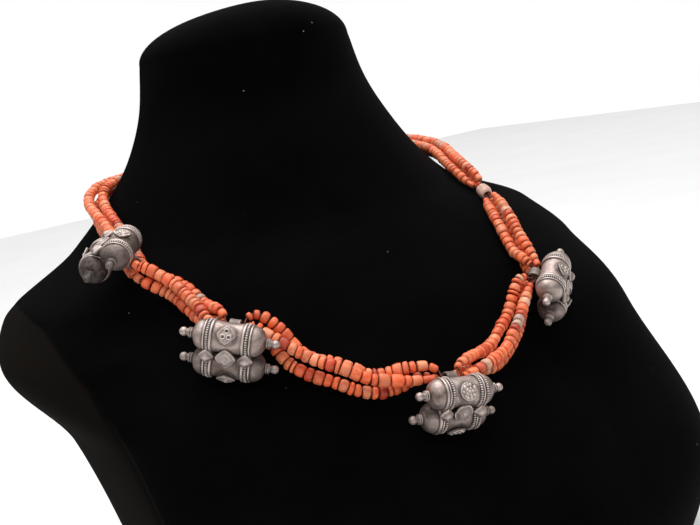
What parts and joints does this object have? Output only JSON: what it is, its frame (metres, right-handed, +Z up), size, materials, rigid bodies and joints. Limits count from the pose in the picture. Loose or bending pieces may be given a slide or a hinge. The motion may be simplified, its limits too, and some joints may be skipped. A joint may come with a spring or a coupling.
{
  "type": "coral necklace on a neck bust",
  "caption": "Multi-string coral bead necklace with silver double-barrel amulets, worn on a plain velvet neck bust that stands on a table.",
  "frame": {"origin": "on the floor, under the middle of the whole model's box", "axes": "+Z up, -Y is the side the chest and the necklace's front face, +X is the wearer's left; the bust is mirrored in X = 0"},
  "size_m": [0.33, 0.2405, 0.3044],
  "materials": {
    "velvet": "black velvet pile",
    "coral": "worn polish with pits",
    "silver": "tarnished silver with rubbed edges",
    "pale_bead": "dull polish"
  },
  "bodies": {
    "root": {"neck_bust": "velvet", "amulet_a": "silver", "amulet_b": "silver", "amulet_c": "silver", "amulet_d": "silver", "pale_bead": "pale_bead", "clasp": "silver", "coral_nape_a_1": "coral", "coral_nape_a_2": "coral", "coral_nape_a_3": "coral", "coral_a_b_1": "coral", "coral_a_b_2": "coral", "coral_a_b_3": "coral", "coral_b_c_1": "coral", "coral_b_c_2": "coral", "coral_b_c_3": "coral", "coral_c_d_1": "coral", "coral_c_d_2": "coral", "coral_c_d_3": "coral", "coral_d_pale_1": "coral", "coral_d_pale_2": "coral", "coral_d_pale_3": "coral", "coral_pale_nape_1": "coral", "coral_pale_nape_2": "coral", "coral_pale_nape_3": "coral"}
  },
  "joints": []
}
